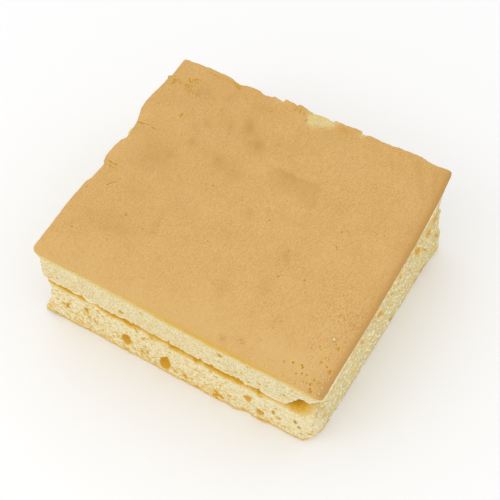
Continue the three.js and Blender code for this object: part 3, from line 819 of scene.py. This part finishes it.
def makeSkin():
    bm = bmesh.new()
    bmesh.ops.create_grid(bm, x_segments=skin["columns"][0], y_segments=skin["columns"][1], size=1)
    spots = skin["fineSpots"] + [(x, y, skin["nickReach"]) for x, y, size in skin["nicks"]]
    for ax, ay, bx, by, wide, deep in skin["cracks"]:
        reach = skin["crackReach"] + math.hypot(bx - ax, by - ay) / 2
        spots.append(((ax + bx) / 2, (ay + by) / 2, reach))
    cutFiner(bm, skin, spots)
    piece = makePiece("brownedSkin", bm)
    mesh = piece.data
    units = readVectors(mesh.vertices, "co")
    units[:, 2] = 1
    placed, level = placeInLayer(skinLayer, units)
    x, y, z = placed.T
    flat = placed * (1, 1, 0)
    worn = lumps(flat, 2.2, 55, 3)
    depth, gape, nearby = sinkCracks(x, y, makeCracks(), 0.25)
    wrinkle = sinkCracks(x, y, skin["wrinkles"], 0.5)[0]
    thin = 1 - ease(1.0, 2.8, baldness(x, y) + 0.6 * worn)
    # the rim is ragged, least on the cut right side
    ragged = lumps(flat, 1.7, 51, 3) * 0.3
    atRim = rimReach(units) ** 40
    placed[:, 0] += np.sign(x) * ragged * atRim * np.where(x < 0, 0.45, 0.15)
    placed[:, 1] += np.sign(y) * ragged * atRim
    soft = lumps(flat, 5.0, 52, 3) * 0.12 + lumps(flat, 22.0, 53, 2) * 0.25
    placed[:, 2] += skin["proud"] - np.minimum(depth, 0.45) - wrinkle - 0.4 * thin + soft
    writePoints(mesh, placed)
    # the wrinkles add painted shade in their hollows
    stain = stainsOver(x, y) + wrinkle + lumps(flat, 9.0, 54, 3) * 0.2
    # darker to the back and the left, paler along the front; from front to back this is painted light and
    # shade
    toBack = 0.16 * y / halfDepth + 0.12 * ease(10, -50, x)
    toBack -= 0.34 * ease(np.interp(x, (-40, 40), (-50, -30)), -66, y)
    crack = ease(0.02, 0.45, gape)
    # painted shade along the right edge, where the top droops away from the light
    inward = halfWidth + sideOut(skinSides["right"], y, level) - x
    wide = 0.25 + 0.1 * ease(0, 30, y)
    paint(
        mesh,
        stain=np.clip(stain + toBack, -1, 1.5),
        warm=np.clip(patches(x, y, skin["warm"]), 0, 1),
        crackle=np.clip(patches(x, y, skin["crackle"]), 0, 1),
        crack=crack,
        halo=nearby * (1 - crack),
        rimGold=np.interp(x, *upper["rimGold"]),
        frontEdge=ease(2.2, 0.2, y + halfDepth + sideOut(skinSides["front"], x, level)),
        thin=thin,
        pitted=ease(40, 72, x) * ease(10, -30, y) + patches(x, y, skin["dimples"]),
        rightEdge=0.75 * ease(4.5, 0.8, inward) + wide * ease(12, 2, inward),
    )
    bm = bmesh.new()
    bm.from_mesh(mesh)

    def isBald(face):
        middle = face.calc_center_median()
        return baldness(middle.x, middle.y) < 1 + 0.45 * worn[face.verts[0].index]

    bmesh.ops.delete(bm, geom=[f for f in bm.faces if isBald(f)], context="FACES")
    rimLayer = bm.verts.layers.float.new("rim")
    outline = [e for e in bm.edges if e.is_boundary]
    skirt = bmesh.ops.extrude_edge_only(bm, edges=outline)["geom"]
    for v in skirt:
        if isinstance(v, bmesh.types.BMVert):
            v.co.z -= skin["thick"]
            v[rimLayer] = 1.0
    bmesh.ops.recalc_face_normals(bm, faces=bm.faces[:])
    if sum(f.normal.z for f in bm.faces) < 0:
        bmesh.ops.reverse_faces(bm, faces=bm.faces[:])
    bm.to_mesh(mesh)
    bm.free()
    finishMesh(mesh)
    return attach(piece, "root")


# Loose crumbs
crumbs = {
    # x, y, size
    "spots": [
        (71.3, -42.4, 1.5), (73.7, -60.0, 0.8), (75.8, -61.9, 0.8), (78.3, -61.5, 0.7), (78.1, -60.0, 0.7),
        (77.9, -66.6, 0.8), (77.9, -70.0, 0.7),
    ],
    "rise": 0.35,
}


def makeCrumbs():
    bm = bmesh.new()
    rng = random.Random(7)
    for x, y, size in crumbs["spots"]:
        height = float(topOfBlock(np.array(x), np.array(y))) + skin["proud"] + crumbs["rise"] * size
        made = bmesh.ops.create_icosphere(bm, subdivisions=3, radius=size / 2)["verts"]
        shift = Vector((rng.uniform(0, 90), rng.uniform(0, 90), rng.uniform(0, 90)))
        for v in made:
            v.co *= 1 + 0.4 * noise.noise(v.co * (2.4 / size) + shift)
            v.co.z *= 0.75
        bmesh.ops.translate(bm, verts=made, vec=(x, y, height))
    piece = makePiece("looseCrumbs", bm)
    finishMesh(piece.data)
    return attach(piece, "root")


# Finishes
class Field:
    # one socket of a material, with maths that adds nodes
    def __init__(self, tree, socket=None):
        self.tree = tree
        self.socket = socket

    def node(self, kind, settings=None, inputs=None, output=0):
        made = self.tree.nodes.new(kind)
        for key, value in (settings or {}).items():
            setattr(made, key, value)
        for key, value in (inputs or {}).items():
            if isinstance(value, Field):
                self.tree.links.new(value.socket, made.inputs[key])
            else:
                made.inputs[key].default_value = value
        return Field(self.tree, made.outputs[output])

    def maths(self, operation, *values):
        return self.node("ShaderNodeMath", {"operation": operation}, dict(enumerate(values)))

    def __add__(self, other):
        return self.maths("ADD", self, other)

    def __sub__(self, other):
        return self.maths("SUBTRACT", self, other)

    def __mul__(self, other):
        return self.maths("MULTIPLY", self, other)

    def __rsub__(self, other):
        return self.maths("SUBTRACT", other, self)

    __radd__ = __add__
    __rmul__ = __mul__

    def ease(self, low, high):
        # 0 below low, 1 above high, smooth between
        inputs = {"Value": self, "From Min": low, "From Max": high}
        return self.node("ShaderNodeMapRange", {"interpolation_type": "SMOOTHSTEP"}, inputs)

    def between(self, first, second):
        # this share of the second colour over the first
        return self.node("ShaderNodeMix", {"data_type": "RGBA"}, {0: self, 6: first, 7: second}, 2)

    def coated(self, look, *coats):
        # colours laid over this one in turn, each with its share
        base = self
        for share, colour in coats:
            base = share.between(base, colour if isinstance(colour, Field) else look[colour])
        return base

    def bumped(self, strength, rise):
        inputs = {"Strength": strength, "Distance": rise * mm, "Height": self}
        return self.node("ShaderNodeBump", {}, inputs)

    def painted(self, *names):
        return [self.node("ShaderNodeAttribute", {"attribute_name": name}, output=2) for name in names]

    def places(self):
        return self.node("ShaderNodeTexCoord", output=3)

    def stretched(self, lengths, turn=(0, 0, 0)):
        # longer along each axis by these lengths, after turning the axes
        inputs = {"Vector": self, "Rotation": turn, "Scale": lengths}
        return self.node("ShaderNodeMapping", {"vector_type": "TEXTURE"}, inputs)

    def cloud(self, size, detail=3.0, roughness=0.5):
        inputs = {"Vector": self, "Scale": 1 / (size * mm), "Detail": detail, "Roughness": roughness}
        return self.node("ShaderNodeTexNoise", {}, inputs)

    def cells(self, size):
        return self.node("ShaderNodeTexVoronoi", {}, {"Vector": self, "Scale": 1 / (size * mm)})


def linear(red, green, blue):
    # a colour given as it looks on screen, 0 to 255
    def one(value):
        c = value / 255
        return c / 12.92 if c <= 0.04045 else ((c + 0.055) / 1.055) ** 2.4
    return (one(red), one(green), one(blue), 1.0)


def newFinish(name, settings):
    material = bpy.data.materials.new(name)
    material.use_nodes = True
    shader = material.node_tree.nodes["Principled BSDF"]
    for socket, value in settings.items():
        shader.inputs[socket].default_value = value
    return material, shader, Field(material.node_tree)


def plug(field, shader, socket):
    field.tree.links.new(field.socket, shader.inputs[socket])


crumbLook = {
    "pale": linear(231, 222, 188),
    "crumb": linear(219, 202, 150),
    "fleck": linear(216, 173, 72),
    "honey": linear(217, 188, 114),
    "straw": linear(220, 192, 108),
    "gold": linear(216, 174, 76),
    "ochre": linear(208, 157, 36),
    "caveShade": linear(184, 130, 8),
    "khaki": linear(221, 209, 166),
    "olive": linear(204, 186, 130),
    "white": linear(238, 229, 199),
    "rust": linear(205, 148, 58),
    "skin": linear(196, 154, 90),
}
upperLook = dict(
    crumbLook, pale=linear(228, 219, 186), crumb=linear(210, 191, 134), lump=1.0, fleckShare=0.45,
    fleckFrom=0.57, underSkin=0.7, honeyRim=(1.8, 6.0), rim=(1.5, 4.2), deep=(0.4, 1.2), foot=(0.1, 1.0),
    footShare=0.1, lipHighlightShare=0.5, bareShare=1.0, caveShadeShare=0.0,
)
lowerLook = dict(
    crumbLook, lump=1.6, fleckShare=0.9, fleckFrom=0.565, underSkin=0.0, honeyRim=(1.4, 4.8), rim=(1.1, 4.4),
    deep=(1.0, 2.7), foot=(0.2, 3.2), footShare=0.9, lipHighlightShare=0.0, bareShare=0.0, caveShadeShare=0.5,
)
crumbSurface = {
    "Roughness": 0.95,
    "Specular IOR Level": 0.15,
    "Subsurface Weight": 0.2,
    "Subsurface Radius": (1.0, 0.6, 0.25),
    "Subsurface Scale": 1.2 * mm,
}


def crumbFinish(name, look):
    material, shader, field = newFinish(name, crumbSurface)
    place = field.places()
    hollow, below, above, smear = field.painted("hollow", "below", "above", "smear")
    pore, back, paler, rimGold = field.painted("pore", "back", "paler", "rimGold")
    bare, rust, wrap = field.painted("bare", "rust", "wrap")
    grain, patch = place.cloud(0.9, 3, 0.6), place.cloud(8.0, 3)
    lump = place.cells(look["lump"])
    fleck = place.stretched((1.25, 1.25, 0.85)).cloud(1.4, 3, 0.65)
    # painted shade: the crumb is darker in the gaps between its lumps and paler on them
    gap = (lump + (grain - 0.5) * 0.9).ease(0.42, 0.6)
    base = (gap * 0.75 + (1 - patch.ease(0.36, 0.6)) * 0.13).between(look["pale"], look["crumb"])
    spot = fleck + (1 - above.ease(0, 26)) * 0.06 - paler * 0.04
    edge = below + (fleck - 0.5) * 3.2
    foot = 1 - (above + (fleck - 0.5) * 9).ease(*look["foot"])
    stripped = place.cloud(1.8, 3, 0.6).ease(0.42, 0.6).between(look["olive"], look["straw"])
    base = base.coated(
        look,
        (spot.ease(look["fleckFrom"], look["fleckFrom"] + 0.035) * look["fleckShare"], "fleck"),
        # painted shade in the bubbles and pores: golden, then ochre as they deepen
        (hollow.ease(0.2, 0.8) * 0.3, "fleck"),
        (pore.ease(0.05, 0.35) * 0.9, "fleck"),
        (pore.ease(0.4, 1.2) * 0.6, "ochre"),
        (pore.ease(1.7, 3.0) * 0.85, "ochre"),
        # golden under the skin and along the foot; on the lower layer's shoulder under the split and in the
        # pocket these golden to dark ochre coats are painted shade
        ((1 - edge.ease(*look["honeyRim"])) * 0.9, "honey"),
        ((1 - edge.ease(*look["rim"])) * (rimGold * 0.95), "gold"),
        ((1 - edge.ease(*look["deep"])) * 0.85, "ochre"),
        ((1 - edge.ease(0.3, 1.6)) * look["caveShadeShare"], "caveShade"),
        (foot * look["footShare"], "gold"),
        # painted highlight along the upper layer's lower lip
        ((1 - above.ease(0.4, 2.2)) * look["lipHighlightShare"], "white"),
        (bare * (0.5 + grain.ease(0.4, 0.6) * 0.5) * look["bareShare"], stripped),
    )
    # smeared by the knife on the right, with some of the skin dragged down
    dragged = place.stretched((1, 1, 2.7), (0.64, 0, 0))
    blotch, sand = dragged.cloud(1.9, 4, 0.6), dragged.cloud(0.9, 3, 0.6)
    golden = (dragged.cloud(2.2, 3) * 0.6 + place.cloud(9.0, 2) * 0.4).ease(0.53, 0.59)
    speck = (dragged.cloud(0.8, 3, 0.7) - 0.5) * 1.9
    nearFoot = 1 - above.ease(0.5, 4)
    rust = (speck + rust * 0.53 + nearFoot * 0.06).ease(0.22, 0.34)
    wrapped = (wrap + (blotch - 0.5) * 2.2).ease(0.35, 0.75)
    wiped = (blotch * 0.5 + sand * 0.5).ease(0.45, 0.56).between(look["olive"], look["khaki"])
    wiped = wiped.coated(
        look,
        (back * 0.25, "olive"),
        (golden * 0.95, "straw"),
        ((blotch - back * 0.03).ease(0.55, 0.61) * 0.95, "white"),
        (rust * 0.9, "rust"),
        (wrapped * 0.9, "skin"),
        # painted highlight: a pale line just under the skin along the top of the right side
        ((1 - below.ease(2.6, 3.8)) * look["underSkin"], "white"),
    )
    plug(base.coated(look, (smear, wiped)), shader, "Base Color")
    height = grain * 0.4 - lump * (0.8 - smear * 0.65)
    plug(height.bumped(0.6, 0.4), shader, "Normal")
    return material


def looseFinish(name, look):
    material, shader, field = newFinish(name, {"Roughness": 0.95})
    grain = field.places().cloud(0.5, 3)
    plug(grain.ease(0.35, 0.6).between(look["olive"], look["khaki"]), shader, "Base Color")
    return material


skinLook = {
    "tan": linear(203, 161, 96),
    "dark": linear(186, 141, 77),
    "light": linear(214, 174, 112),
    "speck": linear(187, 141, 73),
    "gold": linear(190, 139, 4),
    "pale": linear(218, 190, 128),
    "warm": linear(200, 148, 62),
    "edgeShade": linear(184, 139, 76),
    "thin": linear(214, 184, 122),
    "cut": linear(208, 165, 74),
    "cutPale": linear(209, 172, 101),
}


def skinFinish(name, look):
    material, shader, field = newFinish(name, {"Roughness": 0.8, "Specular IOR Level": 0.2})
    place = field.places()
    grain, mottle = place.cloud(0.6, 3, 0.7), place.cloud(1.1, 1, 0.5)
    streak = place.stretched((1, 4.0, 1)).cloud(0.9, 3, 0.6)
    comb = place.stretched((1, 2.6, 1)).cloud(0.55, 2, 0.6)
    right, pitted, stain, crackle = field.painted("rightEdge", "pitted", "stain", "crackle")
    rimGold, warm, halo, crack = field.painted("rimGold", "warm", "halo", "crack")
    thin, frontEdge, rim = field.painted("thin", "frontEdge", "rim")
    pits = 1 - place.stretched((1, 2.2, 1)).cloud(1.2, 2).ease(0.34, 0.42)
    stain = stain * (0.55 + mottle * 0.9)
    flecks = place.stretched((1, 1.9, 1), (0, 0, 0.5)).cloud(0.65, 2, 0.6)
    flecks = (flecks + crackle * 0.17).ease(0.63, 0.66) * crackle.ease(0.08, 0.3)
    cut = rimGold.between(look["cutPale"], look["cut"])
    base = (place.cloud(20.0, 2).ease(0.45, 0.65) * 0.3).between(look["tan"], look["light"])
    base = base.coated(
        look,
        ((grain * 0.65 + mottle * 0.2 + streak * 0.15).ease(0.48, 0.58) * 0.95, "light"),
        ((1 - (grain * 0.75 + streak * 0.25).ease(0.37, 0.47)) * 0.9, "speck"),
        (pits * pitted * 0.75, "speck"),
        ((1 - comb.ease(0.36, 0.48)) * pitted * 0.65, "dark"),
        (comb.ease(0.48, 0.6) * pitted * 0.9, "light"),
        # stains, with painted shade in dark and painted highlights in light
        (stain * 0.55, "dark"),
        (stain * -0.9, "light"),
        ((place.cloud(1.1, 2) + pitted * 0.03).ease(0.68, 0.74) * 0.6, "gold"),
        (warm * 0.8, "warm"),
        # painted shade along the right edge
        (right * 0.85, "edgeShade"),
        (halo * mottle.ease(0.42, 0.6) * 0.8, "pale"),
        (flecks.maths("MAXIMUM", flecks, crack), "gold"),
        (thin * (0.4 + grain.ease(0.35, 0.6) * 0.6), "thin"),
        (frontEdge * grain.ease(0.36, 0.56) * 0.7, cut),
        (rim.ease(0.1, 0.7) * (1 - right), cut),
    )
    plug(base, shader, "Base Color")
    height = grain * 0.5 + mottle * 0.25 + streak * 0.15 - pits * pitted * 0.6
    height = height - flecks * 0.8 + comb * pitted * 0.9
    plug(height.bumped(0.45, 0.3), shader, "Normal")
    return material


def wear(piece, material):
    piece.data.materials.clear()
    piece.data.materials.append(material)
    piece.data.calc_loop_triangles()
    print(piece.name, len(piece.data.loop_triangles), "triangles")


# Pieces
wear(makeLayer("lowerSponge", lower, "lower_sponge"), crumbFinish("openCrumb", lowerLook))
wear(makeLayer("upperSponge", upper, "upper_sponge"), crumbFinish("fineCrumb", upperLook))
wear(makeSkin(), skinFinish("brownedSkin", skinLook))
wear(makeCrumbs(), looseFinish("looseCrumb", crumbLook))

# Camera and studio
view = {
    "place": (171.19, -298.24, 508.61),
    "aim": (-4.854, 11.654, 8.938),
    "lens": 80.73,
    "sensor": 36.0,
}


def aimAt(thing, place, target):
    thing.location = place
    thing.rotation_mode = "QUATERNION"
    thing.rotation_quaternion = (target - place).to_track_quat("-Z", "Y")


def makeCamera():
    data = bpy.data.cameras.new("camera")
    data.lens, data.sensor_width = view["lens"], view["sensor"]
    data.clip_start, data.clip_end = 0.01, 20
    camera = addObject("camera", data)
    place, aim = [Vector((np.array(view[end]) + drawingToFrame) * mm) for end in ("place", "aim")]
    aimAt(camera, place, aim)
    bpy.context.scene.camera = camera


studio = {
    "floorSize": 4.0,
    "floorColour": (0.88, 0.88, 0.88, 1),
    "roomStrength": 1.05,
    "keyPlace": (-0.28, -0.85, 0.9),
    "keySize": 0.9,
    "keyPower": 2.4,
}


def makeStudio():
    bm = bmesh.new()
    bmesh.ops.create_grid(bm, x_segments=8, y_segments=8, size=studio["floorSize"] / 2)
    floor = makePiece("floor", bm)
    wear(floor, newFinish("paleFloor", {"Base Color": studio["floorColour"], "Roughness": 0.9})[0])
    world = bpy.data.worlds.new("room")
    world.use_nodes = True
    sky = world.node_tree.nodes["Background"].inputs
    sky["Color"].default_value = (1, 1, 1, 1)
    sky["Strength"].default_value = studio["roomStrength"]
    bpy.context.scene.world = world
    light = bpy.data.lights.new("key", "AREA")
    light.size, light.energy = studio["keySize"], studio["keyPower"]
    aimAt(addObject("key", light), Vector(studio["keyPlace"]), Vector())
    bpy.context.scene.view_settings.view_transform = "Standard"


makeCamera()
makeStudio()
print("camera and studio ready")
